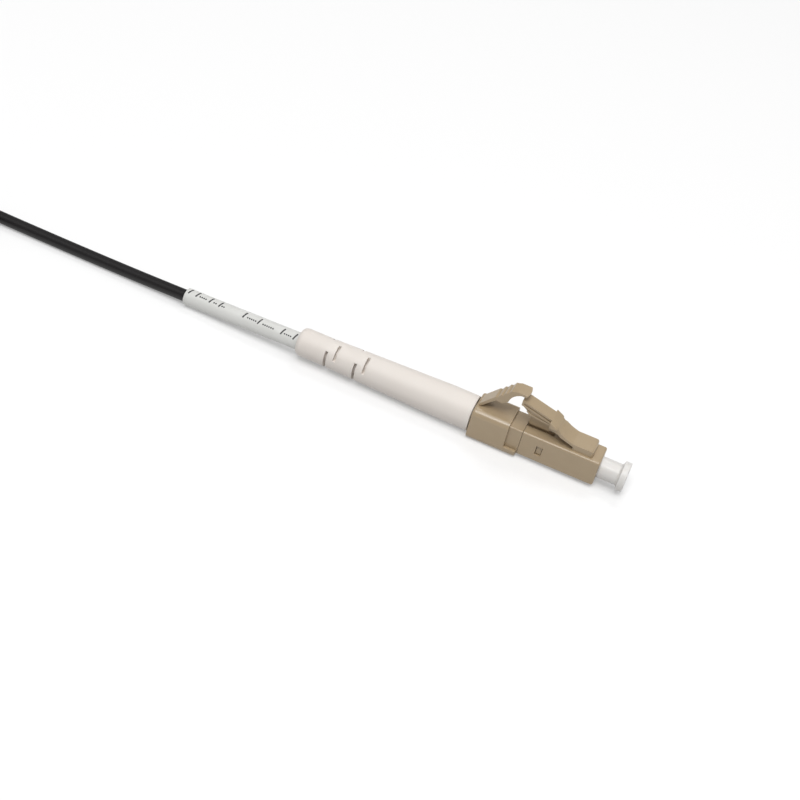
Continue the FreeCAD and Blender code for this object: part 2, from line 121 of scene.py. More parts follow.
def drawOutline(name, points):
    # One vertex pulled from point to point and closed; stays in edit mode with all selected
    bpy.ops.object.select_all(action="DESELECT")
    bpy.ops.mesh.primitive_plane_add(size=1)
    obj = bpy.context.object
    obj.name = name
    bpy.ops.object.mode_set(mode="EDIT")
    bpy.ops.mesh.select_mode(type="VERT")
    bpy.ops.mesh.select_all(action="SELECT")
    bpy.ops.mesh.merge(type="CENTER")
    bpy.ops.transform.translate(value=points[0])
    for before, after in zip(points, points[1:]):
        step = Vector(after) - Vector(before)
        bpy.ops.mesh.extrude_vertices_move(TRANSFORM_OT_translate={"value": step})
    shape = bmesh.from_edit_mesh(obj.data)
    shape.verts.ensure_lookup_table()
    shape.verts[0].select_set(True)
    bpy.ops.mesh.edge_face_add()
    bpy.ops.mesh.select_all(action="SELECT")
    return obj


def sideSlab(name, outline, width):
    # Side outline of (x, z) points, filled and pulled across to its width
    obj = drawOutline(name, [(x, -width / 2, z) for x, z in outline])
    bpy.ops.mesh.edge_face_add()
    bpy.ops.mesh.extrude_region_move(TRANSFORM_OT_translate={"value": (0, width, 0)})
    bpy.ops.mesh.select_all(action="SELECT")
    bpy.ops.mesh.normals_make_consistent(inside=False)
    bpy.ops.object.mode_set(mode="OBJECT")
    return obj


def planSlab(name, outline, low, high):
    # Plan of (x, half width) points, mirrored about the X axis and pulled up
    plan = [(x, -half, low) for x, half in outline] + [(x, half, low) for x, half in reversed(outline)]
    obj = drawOutline(name, plan)
    bpy.ops.mesh.edge_face_add()
    bpy.ops.mesh.extrude_region_move(TRANSFORM_OT_translate={"value": (0, 0, high - low)})
    bpy.ops.mesh.select_all(action="SELECT")
    bpy.ops.mesh.normals_make_consistent(inside=False)
    bpy.ops.object.mode_set(mode="OBJECT")
    return obj


def turnProfile(name, outline, steps):
    # Closed half section of (x, radius) points, spun once round the X axis
    obj = drawOutline(name, [(x, 0, radius) for x, radius in outline])
    bpy.ops.mesh.spin(steps=steps, angle=2 * math.pi, center=(0, 0, 0), axis=(1, 0, 0))
    bpy.ops.mesh.select_all(action="SELECT")
    bpy.ops.mesh.remove_doubles(threshold=seam)
    bpy.ops.mesh.normals_make_consistent(inside=False)
    bpy.ops.object.mode_set(mode="OBJECT")
    return obj


def bevelEdges(obj, test, width, segments):
    # test takes an edge's middle and direction
    pickOnly(obj)
    bpy.ops.object.mode_set(mode="EDIT")
    bpy.ops.mesh.select_mode(type="EDGE")
    bpy.ops.mesh.select_all(action="DESELECT")
    shape = bmesh.from_edit_mesh(obj.data)
    for edge in shape.edges:
        a, b = (corner.co for corner in edge.verts)
        edge.select_set(bool(test((a + b) / 2, (b - a).normalized())))
    bmesh.update_edit_mesh(obj.data)
    bpy.ops.mesh.bevel(offset=width, segments=segments, affect="EDGES")
    bpy.ops.object.mode_set(mode="OBJECT")


def combine(obj, tool, how):
    applyModifier(obj, "BOOLEAN", object=tool, operation=how, solver="EXACT")
    bpy.data.objects.remove(tool)


def softenEdges(obj, width, segments=2, angle=35):
    applyModifier(obj, "BEVEL", width=width, segments=segments, limit_method="ANGLE",
                  angle_limit=math.radians(angle))


def arcPoints(start, middle, end, count):
    # Points on the arc through three (x, z) points, both ends left out
    (ax, az), (bx, bz), (cx, cz) = start, middle, end
    scale = 2 * (ax * (bz - cz) + bx * (cz - az) + cx * (az - bz))
    aSquare, bSquare, cSquare = ax * ax + az * az, bx * bx + bz * bz, cx * cx + cz * cz
    centreX = (aSquare * (bz - cz) + bSquare * (cz - az) + cSquare * (az - bz)) / scale
    centreZ = (aSquare * (cx - bx) + bSquare * (ax - cx) + cSquare * (bx - ax)) / scale
    radius = math.hypot(ax - centreX, az - centreZ)
    first = math.atan2(az - centreZ, ax - centreX)
    turn = (math.atan2(cz - centreZ, cx - centreX) - first + math.pi) % (2 * math.pi) - math.pi
    angles = [first + turn * i / count for i in range(1, count)]
    return [(centreX + radius * math.cos(a), centreZ + radius * math.sin(a)) for a in angles]


def finishPiece(obj, material, smooth=32):
    pickOnly(obj)
    obj.scale = (mm, mm, mm)
    bpy.ops.object.transform_apply(location=True, rotation=True, scale=True)
    bpy.ops.object.shade_smooth_by_angle(angle=math.radians(smooth))
    applyModifier(obj, "WEIGHTED_NORMAL", keep_sharp=True)
    obj.data.materials.clear()
    obj.data.materials.append(material)
    print(obj.name, "finished,", len(obj.data.polygons), "faces")


# Materials

def fromHex(code):
    # sRGB hex to the linear colour that sockets take
    parts = [int(code[i:i + 2], 16) / 255 for i in (1, 3, 5)]
    return [p / 12.92 if p <= 0.04045 else ((p + 0.055) / 1.055) ** 2.4 for p in parts] + [1.0]


def perMetre(size):
    # Texture scale for a pattern of this size in millimetres
    return 1 / (size * mm)


def addNode(material, kind, settings, inputs):
    node = material.node_tree.nodes.new("ShaderNode" + kind)
    for name, value in settings.items():
        setattr(node, name, value)
    for name, value in inputs.items():
        if isinstance(value, bpy.types.NodeSocket):
            material.node_tree.links.new(value, node.inputs[name])
        else:
            node.inputs[name].default_value = value
    return node


def startMaterial(name):
    material = bpy.data.materials.new(name)
    material.use_nodes = True
    material.node_tree.nodes.clear()
    return material, addNode(material, "TexCoord", {}, {}).outputs["Object"]


def mouldedPlastic(name, look):
    # Two close tones in soft clouds, and a fine tool grain that breaks up the gloss
    swing = 0.06  # how far the grain moves the roughness either way
    material, place = startMaterial(name)
    stretch = addNode(material, "Mapping", {}, {"Vector": place, "Scale": look.get("stretch", (1, 1, 1))})
    cloud = addNode(material, "TexNoise", {}, {
        "Vector": stretch.outputs[0], "Scale": perMetre(look["cloud"]), "Detail": 3.0})
    tone = addNode(material, "Mix", {"data_type": "RGBA"}, {
        0: cloud.outputs["Fac"], 6: fromHex(look["dark"]), 7: fromHex(look["light"])})
    grain = addNode(material, "TexNoise", {}, {
        "Vector": stretch.outputs[0], "Scale": perMetre(look["grain"]), "Detail": 2.0})
    gloss = addNode(material, "MapRange", {}, {
        "Value": grain.outputs["Fac"], "To Min": look["rough"] - swing, "To Max": look["rough"] + swing})
    relief = addNode(material, "Bump", {}, {
        "Height": grain.outputs["Fac"], "Strength": look["strength"], "Distance": look["relief"] * mm})
    shader = addNode(material, "BsdfPrincipled", {}, {
        "Base Color": tone.outputs[2], "Roughness": gloss.outputs["Result"],
        "Normal": relief.outputs["Normal"], "IOR": look["ior"],
        "Subsurface Weight": look.get("glow", 0.0), "Subsurface Radius": (1.0, 0.95, 0.9),
        "Subsurface Scale": look.get("glowDepth", 0.5) * mm})
    addNode(material, "OutputMaterial", {}, {"Surface": shader.outputs["BSDF"]})
    return material


def drawnMetal(name, look):
    # Plated or drawn metal: tool marks and small shifts in gloss along them
    swing = 0.08  # how far the marks move the roughness either way
    strength = 0.3  # how much of their relief shows
    relief = 0.01  # height of the marks in millimetres
    material, place = startMaterial(name)
    marks = addNode(material, "Mapping", {}, {"Vector": place, "Scale": look["stretch"]})
    streak = addNode(material, "TexNoise", {}, {
        "Vector": marks.outputs[0], "Scale": perMetre(look["mark"]), "Detail": 3.0})
    tone = addNode(material, "Mix", {"data_type": "RGBA"}, {
        0: streak.outputs["Fac"], 6: fromHex(look["dark"]), 7: fromHex(look["light"])})
    gloss = addNode(material, "MapRange", {}, {
        "Value": streak.outputs["Fac"], "To Min": look["rough"] - swing, "To Max": look["rough"] + swing})
    bump = addNode(material, "Bump", {}, {
        "Height": streak.outputs["Fac"], "Strength": strength, "Distance": relief * mm})
    shader = addNode(material, "BsdfPrincipled", {}, {
        "Base Color": tone.outputs[2], "Roughness": gloss.outputs["Result"],
        "Normal": bump.outputs["Normal"], "Metallic": 1.0})
    addNode(material, "OutputMaterial", {}, {"Surface": shader.outputs["BSDF"]})
    return material


def wovenStrap(name, look):
    # Over-and-under threads: one wave along the strap, one across it, and loose fibres over both
    material, place = startMaterial(name)
    split = addNode(material, "SeparateXYZ", {}, {"Vector": place})
    around = addNode(material, "Math", {"operation": "ADD"}, {
        0: split.outputs["Y"], 1: split.outputs["Z"]})
    pitch = 2 * math.pi * perMetre(look["thread"])
    waves = []
    for way in (split.outputs["X"], around.outputs[0]):
        turn = addNode(material, "Math", {"operation": "MULTIPLY"}, {0: way, 1: pitch})
        waves.append(addNode(material, "Math", {"operation": "SINE"}, {0: turn.outputs[0]}).outputs[0])
    weave = addNode(material, "Math", {"operation": "MULTIPLY"}, {0: waves[0], 1: waves[1]})
    level = addNode(material, "MapRange", {}, {
        "Value": weave.outputs[0], "From Min": -1.0, "From Max": 1.0})
    fuzz = addNode(material, "TexNoise", {}, {
        "Vector": place, "Scale": perMetre(look["fuzz"]), "Detail": 4.0})
    height = addNode(material, "Math", {"operation": "MULTIPLY_ADD"}, {
        0: fuzz.outputs["Fac"], 1: look["fuzzShare"], 2: level.outputs["Result"]})
    # Colour follows the weave's height: painted shade in the hollows between threads, a painted highlight on
    # their crests
    tone = addNode(material, "Mix", {"data_type": "RGBA"}, {
        0: level.outputs["Result"], 6: fromHex(look["dark"]), 7: fromHex(look["light"])})
    relief = addNode(material, "Bump", {}, {
        "Height": height.outputs[0], "Strength": look["strength"], "Distance": look["relief"] * mm})
    shader = addNode(material, "BsdfPrincipled", {}, {
        "Base Color": tone.outputs[2], "Roughness": look["rough"], "Normal": relief.outputs["Normal"],
        "Sheen Weight": look["sheen"], "Sheen Roughness": look["sheenRough"]})
    addNode(material, "OutputMaterial", {}, {"Surface": shader.outputs["BSDF"]})
    return material


def drawnGlass(name, look):
    # Clear glass, with the slightest unevenness in its polish
    material, place = startMaterial(name)
    haze = addNode(material, "TexNoise", {}, {"Vector": place, "Scale": perMetre(look["haze"])})
    gloss = addNode(material, "MapRange", {}, {
        "Value": haze.outputs["Fac"], "To Min": look["smooth"], "To Max": look["dull"]})
    shader = addNode(material, "BsdfPrincipled", {}, {
        "Base Color": fromHex(look["tint"]), "Roughness": gloss.outputs["Result"], "IOR": look["ior"],
        "Transmission Weight": 1.0})
    addNode(material, "OutputMaterial", {}, {"Surface": shader.outputs["BSDF"]})
    return material


# Polyester blend, moulded in a spark-eroded tool: an even satin beige
plugBeige = mouldedPlastic("plugBeigePolyester", dict(
    dark="#A79375", light="#AF9B7E", cloud=3.0, grain=0.12, rough=0.3, strength=0.2, relief=0.01, ior=1.62))
# Soft thermoplastic rubber: a warm white that scatters a little light
bootWhite = mouldedPlastic("bootRubber", dict(
    dark="#E0D8D1", light="#E6E0D9", cloud=6.0, grain=0.2, rough=0.5, strength=0.2, relief=0.01, ior=1.49,
    glow=0.1, glowDepth=0.6))
# Low-density polyethylene: milky, waxy and a little see-through at its thin edges
capMilky = mouldedPlastic("capPolyethylene", dict(
    dark="#DAD7D3", light="#E2E0DD", cloud=2.0, grain=0.25, rough=0.38, strength=0.15, relief=0.008,
    ior=1.51, glow=0.35, glowDepth=0.8))
# Extruded jacket: near black, satin, with the faint lengthwise drag of the die
jacketBlack = mouldedPlastic("jacketBlackVinyl", dict(
    dark="#0F0D0E", light="#161314", cloud=4.0, grain=0.18, rough=0.42, strength=0.3, relief=0.01, ior=1.42,
    stretch=(0.15, 1, 1)))
# Shrunk polyolefin film: a cool white with the soft ripple that shrinking leaves
sleeveWhite = mouldedPlastic("sleevePolyolefin", dict(
    dark="#D5D5D1", light="#DEDEDB", cloud=1.6, grain=0.6, rough=0.36, strength=0.25, relief=0.03, ior=1.5))
# Print ink: dull and nearly black
inkDark = mouldedPlastic("printInk", dict(
    dark="#1C1B1D", light="#29282B", cloud=0.3, grain=0.08, rough=0.6, strength=0.2, relief=0.004, ior=1.5))
# Woven nylon hook-and-loop tape: dull black, with threads that catch a soft sheen, and painted shade in the
# hollows between threads with a painted highlight on their crests
strapBlack = wovenStrap("strapWovenNylon", dict(
    dark="#141416", light="#2C2C30", thread=0.7, fuzz=0.15, fuzzShare=0.5, strength=0.7, relief=0.08,
    rough=0.85, sheen=0.3, sheenRough=0.5))
# Polished zirconia: warm white, glassy, with a trace of depth
zirconia = mouldedPlastic("ferruleZirconia", dict(
    dark="#ECE8DE", light="#F4F1EA", cloud=1.5, grain=0.1, rough=0.14, strength=0.05, relief=0.002, ior=2.1,
    glow=0.15, glowDepth=0.3))
# Nickel-plated steel, turned: fine rings round the axis
nickelSteel = drawnMetal("flangeNickelSteel", dict(
    dark="#A8A59C", light="#C4C1B8", mark=0.08, rough=0.28, stretch=(1, 0.2, 0.2)))
# Spring wire: drawn, slightly darkened by its heat treatment
springSteel = drawnMetal("springWire", dict(
    dark="#7C7B7A", light="#A3A2A1", mark=0.15, rough=0.34, stretch=(1, 1, 1)))
# Tin-plated brass, pressed on: soft grey-gold with the press's marks along it
crimpBrass = drawnMetal("crimpBrass", dict(
    dark="#A9A08A", light="#C6BDA6", mark=0.3, rough=0.32, stretch=(0.3, 1, 1)))
# Slippery fluoropolymer tube: waxy, dense white
guideWhite = mouldedPlastic("guideFluoropolymer", dict(
    dark="#E3E3DF", light="#EEEEEA", cloud=1.0, grain=0.2, rough=0.3, strength=0.1, relief=0.004, ior=1.38,
    glow=0.2, glowDepth=0.4))
# Extruded buffer round the fibre: dull ivory with lengthwise drag
bufferIvory = mouldedPlastic("bufferPolyester", dict(
    dark="#DEDBCB", light="#E8E5D6", cloud=1.2, grain=0.12, rough=0.45, strength=0.15, relief=0.004, ior=1.5,
    stretch=(0.2, 1, 1)))
# Aramid yarn: straw-gold filaments along the cable
yarnGold = mouldedPlastic("aramidYarn", dict(
    dark="#A88838", light="#E0C368", cloud=0.12, grain=0.06, rough=0.55, strength=0.8, relief=0.03, ior=1.6,
    stretch=(0.04, 1, 1)))
# Drawn silica: clear, with a trace of cool blue
fibreGlass = drawnGlass("fibreSilica", dict(tint="#F4F8FA", haze=0.05, smooth=0.01, dull=0.06, ior=1.46))

for node, material in {"rear_body": plugBeige, "ferrule_flange": nickelSteel,
                       "guide_tube": guideWhite, "spring": springSteel, "bare_fibre": fibreGlass,
                       "aramid_yarn": yarnGold, "crimp_sleeve": crimpBrass}.items():
    inner = bpy.data.objects[node]
    inner.data.materials.clear()
    inner.data.materials.append(material)
print("materials made")


# Camera at the photograph's viewpoint, in millimetres of the part's frame

camera = dict(place=(5.79, -153.28, 128.34), lookAt=(-32.34, -0.53, -2.86), up=(-0.38353, 0.54479, 0.74572),
              lens=59.2, sensor=36, nearest=5)
eye = bpy.data.objects.new("camera", bpy.data.cameras.new("camera"))
bpy.context.scene.collection.objects.link(eye)
back = (Vector(camera["place"]) - Vector(camera["lookAt"])).normalized()
right = Vector(camera["up"]).cross(back).normalized()
turned = Matrix((right, back.cross(right), back)).transposed()
eye.matrix_world = Matrix.Translation(Vector(camera["place"]) * mm) @ turned.to_4x4()
eye.data.lens = camera["lens"]
eye.data.sensor_width = camera["sensor"]
eye.data.clip_start = camera["nearest"] * mm
bpy.context.scene.camera = eye


# Cable: straight out of the boot, down to the table and into a flat hank of three and a half turns

cableRun = dict(diameter=2.0, length=0.42, exit=(-50.45, 0.04, -0.33), lineSteps=12, ringSteps=6, route=[
    (-27.75, 0, 0), (-40.05, 0, 0), (-56.05, 0.1, -0.5), (-70.05, 0.8, -1.36), (-84.05, 1.2, -1.86),
    (-101.05, 1.35, -1.84), (-117.05, 1.3, -1.46)])
hank = dict(front=-117.05, run=29.0, middle=-6.7, low=-1.46, high=0.54, outer=8.0, inner=6.0,
            foldPoints=6, end=-133.0)
# Folds in order: end, lane and height, and whether the run to it changes lane before or after half way
folds = [("rear", "outer", "low", "late"), ("front", "inner", "low", "late"),
         ("rear", "inner", "low", "late"), ("front", "inner", "high", "early"),
         ("rear", "outer", "high", "late"), ("front", "outer", "high", "late")]


def hankPoints():
    # Corners of the outline round each fold, so that the smooth line inside them has the fold's radius
    points = []
    rear = hank["front"] - hank["run"]
    lane, height = hank["outer"], hank["low"]
    for end, newLane, newHeight, shift in folds:
        side = 1 if end == "rear" else -1  # which way Y goes from the middle on the run to this fold
        if points:
            halfway = (lane, height) if shift == "late" else (hank[newLane], hank[newHeight])
            points.append((hank["front"] - hank["run"] / 2, hank["middle"] + side * halfway[0], halfway[1]))
        lane, height = hank[newLane], hank[newHeight]
        step = math.pi / hank["foldPoints"]
        reach = lane / math.cos(step / 2)
        for i in range(hank["foldPoints"]):
            turn = step * (i + 0.5)
            x = (rear if end == "rear" else hank["front"]) - side * reach * math.sin(turn)
            points.append((x, hank["middle"] + side * reach * math.cos(turn), height))
    points.append((hank["end"], hank["middle"] + hank["outer"], hank["high"]))
    return points


cordPoints = cableRun["route"] + hankPoints()
cordCurve = bpy.data.curves.new("cableRun", "CURVE")
cordCurve.dimensions = "3D"
spline = cordCurve.splines.new("NURBS")
spline.points.add(len(cordPoints) - 1)
for point, place in zip(spline.points, cordPoints):
    point.co = (*(Vector(place) * mm), 1)
spline.order_u = 3
spline.use_endpoint_u = True
spline.resolution_u = cableRun["lineSteps"]
cord = bpy.data.objects.new("cableRun", cordCurve)
bpy.context.scene.collection.objects.link(cord)
bpy.context.view_layer.update()
lineMesh = bpy.data.meshes.new_from_object(cord)
cordLine = [vertex.co / mm for vertex in lineMesh.vertices]  # the smooth line, for the pieces on it
bpy.data.meshes.remove(lineMesh)
cordCurve.bevel_depth = cableRun["diameter"] / 2 * mm
cordCurve.bevel_resolution = cableRun["ringSteps"]
cordCurve.use_fill_caps = True
cordCurve.materials.append(jacketBlack)
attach(cord, "plug")
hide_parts("cable", "cable_hank")
print("cable laid,", len(cordPoints), "points")


# Printed sleeve shrunk on the cable

sleeve = dict(front=-46.55, exitFace=-50.45, rear=-71.15, diameter=2.85, wall=0.33, endRound=0.08,
              ringSteps=10)


def tubeOnLine(name, points, diameter, ringSteps):
    tubeCurve = bpy.data.curves.new(name, "CURVE")
    tubeCurve.dimensions = "3D"
    run = tubeCurve.splines.new("POLY")
    run.points.add(len(points) - 1)
    for point, place in zip(run.points, points):
        point.co = (*place, 1)
    tubeCurve.bevel_depth = diameter / 2
    tubeCurve.bevel_resolution = ringSteps
    tube = bpy.data.objects.new(name, tubeCurve)
    bpy.context.scene.collection.objects.link(tube)
    pickOnly(tube)
    bpy.ops.object.convert(target="MESH")
    return bpy.context.object


def onLine(x):
    # Place of the cable's middle at x, before the hank
    for a, b in zip(cordLine, cordLine[1:]):
        if b.x <= x <= a.x:
            return a.lerp(b, (x - a.x) / (b.x - a.x))


def lineStretch(front, rear):
    return [onLine(front)] + [p for p in cordLine if rear < p.x < front] + [onLine(rear)]


labelSleeve = tubeOnLine("labelSleeve", lineStretch(sleeve["front"], sleeve["rear"]), sleeve["diameter"],
                         sleeve["ringSteps"])
applyModifier(labelSleeve, "SOLIDIFY", thickness=sleeve["wall"], offset=-1)
softenEdges(labelSleeve, sleeve["endRound"], segments=3, angle=60)
finishPiece(labelSleeve, sleeveWhite)
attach(labelSleeve, "plug")
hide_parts("label_sleeve")


# Sleeve's print: plain ticks and rows of dots, as a dot printer leaves them

# Marks as (millimetres from the sleeve's rear end, a tick or how many dots in a row)
sleevePrint = dict(dot=0.27, dotSides=8, depth=0.03, tickDots=6, tickPitch=0.19, lean=0.07, rowPitch=0.36,
                   rowAcross=-1.5, rearTurn=95, frontTurn=122, marks=[
                       (0.5, "tick"), (1.9, "tick"), (2.6, 4), (4.4, "tick"), (5.2, 2), (6.2, "tick"),
                       (6.7, 2), (10.7, "tick"), (11.5, 5), (13.4, "tick"), (14.3, 6), (17.6, "tick"),
                       (18.2, 4), (19.8, "tick")])


def printSpots():
    # Places as (millimetres from the sleeve's rear end, step across the print)
    for start, kind in sleevePrint["marks"]:
        if kind == "tick":
            for i in range(sleevePrint["tickDots"]):
                yield start + sleevePrint["lean"] * i, i - (sleevePrint["tickDots"] - 1) / 2
        else:
            for i in range(kind):
                yield start + sleevePrint["rowPitch"] * i, sleevePrint["rowAcross"]


def addPrint():
    bpy.ops.object.select_all(action="DESELECT")
    bpy.ops.mesh.primitive_cylinder_add(vertices=sleevePrint["dotSides"], radius=sleevePrint["dot"] / 2,
                                        depth=sleevePrint["depth"])
    dot = bpy.context.object
    dot.name = "sleevePrint"
    shown = sleeve["exitFace"] - sleeve["rear"]
    twist = sleevePrint["frontTurn"] - sleevePrint["rearTurn"]
    copies = []
    for along, across in printSpots():
        x = sleeve["rear"] + along
        middle = onLine(x)
        turn = math.radians(sleevePrint["rearTurn"] + twist * along / shown)
        turn -= across * sleevePrint["tickPitch"] / (sleeve["diameter"] / 2)
        out = Vector((0, math.cos(turn), math.sin(turn)))
        spot = dot.copy()
        spot.data = dot.data.copy()
        spot.matrix_world = (Matrix.Translation(middle + out * sleeve["diameter"] / 2)
                             @ out.to_track_quat("Z", "X").to_matrix().to_4x4())
        bpy.context.scene.collection.objects.link(spot)
        copies.append(spot)
    bpy.data.objects.remove(dot)
    pickOnly(copies[0])
    for spot in copies:
        spot.select_set(True)
    bpy.ops.object.join()
    bpy.ops.object.transform_apply(location=True, rotation=True, scale=True)
    bpy.context.object.name = "sleevePrint"
    return bpy.context.object


printDots = addPrint()
finishPiece(printDots, inkDark)
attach(printDots, "plug")


# Plug housing: square bar with a nose bore, a snap window in each side and a slot for the latch's web

housing = dict(size=4.52, length=12.3, edge=0.36, noseRound=0.26, noseBore=3.6, noseDepth=2.3, web=0.6,
               webHole=1.7, cavity=2.6, windowAt=(-9.22, -0.1), windowSize=(0.98, 1.62), slotFront=-7.9,
               slotWidth=0.8, slotDepth=0.5, softEdge=0.045)


def addHousing():
    half = housing["size"] / 2
    rear = -housing["length"]
    body = addBlock("plugHousing", (rear, -half, -half), (0, half, half))
    bevelEdges(body, lambda middle, way: abs(way.x) > aligned, housing["edge"], segments=5)
    bevelEdges(body, lambda middle, way: middle.x > -near, housing["noseRound"], segments=3)
    (x, z), (length, height) = housing["windowAt"], housing["windowSize"]
    combine(body, addBlock("window", (x - length / 2, -half - past, z - height / 2),
                           (x + length / 2, half + past, z + height / 2)), "DIFFERENCE")
    side = housing["slotWidth"] / 2
    combine(body, addBlock("webSlot", (rear - past, -side, half - housing["slotDepth"]),
                           (housing["slotFront"], side, half + past)), "DIFFERENCE")
    combine(body, addRod("noseBore", housing["noseBore"], -housing["noseDepth"], past), "DIFFERENCE")
    softenEdges(body, housing["softEdge"])
    webRear = -housing["noseDepth"] - housing["web"]
    combine(body, addRod("webHole", housing["webHole"], webRear - past, past), "DIFFERENCE")
    combine(body, addRod("cavity", housing["cavity"], rear - past, webRear), "DIFFERENCE")
    return body


plugHousing = addHousing()
finishPiece(plugHousing, plugBeige)
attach(plugHousing, "plug")
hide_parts("front_housing")


# Latch: base, curved neck, locking shoulders and sprung arm in one moulding

# Outlines are (x, z) points of the side view
latch = dict(baseFront=-1.43, baseTop=3.36, baseRear=-4.65, sunk=2.2, root=(-4.75, 3.35),
             rootLow=(-4.75, 2.89), rootRamp=0.3, rootStep=0.1, neck=(-7.8, 5.0), neckSag=0.27,
             neckSteps=12, neckLow=(-7.7, 3.84), shoulder=(-8.95, 5.63), shoulderLow=4.05,
             tail=(-13.95, 6.95), thickness=0.9, baseWidth=3.45, waistFrom=-6.9, waistRun=0.4,
             waist=3.0, armWidth=2.35, earWidth=3.8, earRound=0.2,
             ear=[(-8.97, 4.45), (-8.97, 5.62), (-7.9, 5.04), (-7.65, 4.88), (-7.58, 4.45)],
             groove=(0.3, 0.58), grooveRear=-13.6, coreWidth=2.0, barWidth=2.3, webWidth=0.6,
             rib=[(-13.85, 6.4), (-13.85, 6.0), (-13.02, 5.43), (-12.4, 4.85), (-8.43, 4.35), (-8.43, 5.04)],
             bar=[(-12.95, 5.33), (-12.4, 4.83), (-9.0, 4.4), (-9.0, 4.68), (-12.3, 5.1), (-12.75, 5.5)],
             web=[(-12.2, 6.04), (-12.2, 2.71), (-8.95, 2.71), (-8.43, 4.01), (-8.43, 5.04)],
             frontRound=0.34, softEdge=0.06, bendFrom=(-4.4, 0, 3.1), bendTo=(-5.8, 0, 3.1))


def midway(a, b, sag):
    return (a[0] + b[0]) / 2, (a[1] + b[1]) / 2 - sag


def addGroove(shoulder, tail):
    # A cutter for both flanks of the arm, a little below its top face
    slope = (tail[1] - shoulder[1]) / (tail[0] - shoulder[0])
    rear = latch["grooveRear"]
    upper, lower = (tail[1] + slope * (rear - tail[0]) - depth for depth in latch["groove"])
    rise = slope * (shoulder[0] - rear)
    cutter = sideSlab("latchGroove", [(rear, lower), (rear, upper), (shoulder[0], upper + rise),
                                      (shoulder[0], lower + rise)], 2 * latch["armWidth"])
    half = latch["coreWidth"] / 2
    combine(cutter, addBlock("armCore", (rear - past, -half, 0), (0, half, tail[1] + past)), "DIFFERENCE")
    return cutter


def addLatch():
    root, neck, shoulder, tail = (latch[k] for k in ("root", "neck", "shoulder", "tail"))
    front, rear, sunk, down = (latch[k] for k in ("baseFront", "baseRear", "sunk", "thickness"))
    outline = [(front, sunk), (front, latch["baseTop"]), (rear + latch["rootRamp"], latch["baseTop"]), root]
    outline += arcPoints(root, midway(root, neck, latch["neckSag"]), neck, latch["neckSteps"])
    outline += [neck, shoulder, tail, (tail[0], tail[1] - down), (shoulder[0], shoulder[1] - down),
                (shoulder[0], latch["shoulderLow"]), latch["neckLow"], latch["rootLow"],
                (rear, latch["rootLow"][1] - latch["rootStep"]), (rear, sunk)]
    arm = sideSlab("latchArm", outline, 2 * latch["baseWidth"])
    wide, slim, waist = latch["baseWidth"] / 2, latch["armWidth"] / 2, latch["waist"] / 2
    plan = [(front + past, wide), (latch["waistFrom"], wide), (latch["waistFrom"] - latch["waistRun"], waist),
            (shoulder[0], waist), (shoulder[0], slim), (tail[0] - past, slim)]
    combine(arm, planSlab("latchPlan", plan, 0, tail[1] + past), "INTERSECT")
    combine(arm, addGroove(shoulder, tail), "DIFFERENCE")
    for part, width in (("rib", "coreWidth"), ("bar", "barWidth"), ("web", "webWidth")):
        combine(arm, sideSlab(part, latch[part], latch[width]), "UNION")
    bevelEdges(arm, lambda middle, way: middle.x > front - near and middle.z > sunk + near,
               latch["frontRound"], segments=4)
    softenEdges(arm, latch["softEdge"])
    ears = sideSlab("ears", latch["ear"], latch["earWidth"])
    softenEdges(ears, latch["earRound"], segments=4)
    combine(arm, ears, "UNION")
    return arm


latchArm = addLatch()
finishPiece(latchArm, plugBeige)
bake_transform(latchArm)
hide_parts("latch_lever")


# Trigger clip: square ring with soft long corners and a lip under the housing

clip = dict(rear=-20.5, front=-14.45, half=2.86, topRound=1.1, lowRound=1.05, lipFront=-12.5, lipHeight=1.36,
            rearRound=0.35, room=2.31, roomEdge=0.2, endWall=0.55, hole=3.6, softEdge=0.07)


def addClip():
    half = clip["half"]
    ring = addBlock("clipRing", (clip["rear"], -half, -half), (clip["front"], half, half))
    bpy.ops.object.mode_set(mode="EDIT")
    bpy.ops.mesh.select_all(action="SELECT")
    bpy.ops.mesh.bisect(plane_co=(0, 0, clip["lipHeight"] - half), plane_no=(0, 0, 1))
    bpy.ops.mesh.select_mode(type="FACE")
    bpy.ops.mesh.select_all(action="DESELECT")
    shape = bmesh.from_edit_mesh(ring.data)
    for face in shape.faces:
        low = face.calc_center_median().z < clip["lipHeight"] - half
        face.select_set(low and face.normal.x > aligned)
    bmesh.update_edit_mesh(ring.data)
    bpy.ops.mesh.extrude_region_move(
        TRANSFORM_OT_translate={"value": (clip["lipFront"] - clip["front"], 0, 0)})
    bpy.ops.object.mode_set(mode="OBJECT")
    bevelEdges(ring, lambda middle, way: abs(way.x) > aligned and middle.z > half - near,
               clip["topRound"], segments=10)
    bevelEdges(ring, lambda middle, way: abs(way.x) > aligned and middle.z < near - half,
               clip["lowRound"], segments=10)
    bevelEdges(ring, lambda middle, way: middle.x < clip["rear"] + near and middle.z > half / 2,
               clip["rearRound"], segments=4)
    inner = clip["room"]
    room = addBlock("clipRoom", (clip["rear"] + clip["endWall"], -inner, -inner),
                    (clip["lipFront"] + past, inner, inner))
    bevelEdges(room, lambda middle, way: abs(way.x) > aligned, clip["roomEdge"], segments=4)
    combine(ring, room, "DIFFERENCE")
    softenEdges(ring, clip["softEdge"])
    combine(ring, addRod("clipHole", clip["hole"], clip["rear"] - past, clip["front"]), "DIFFERENCE")
    return ring


clipRing = addClip()
finishPiece(clipRing, plugBeige)
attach(clipRing, "plug")
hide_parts("trigger_clip")
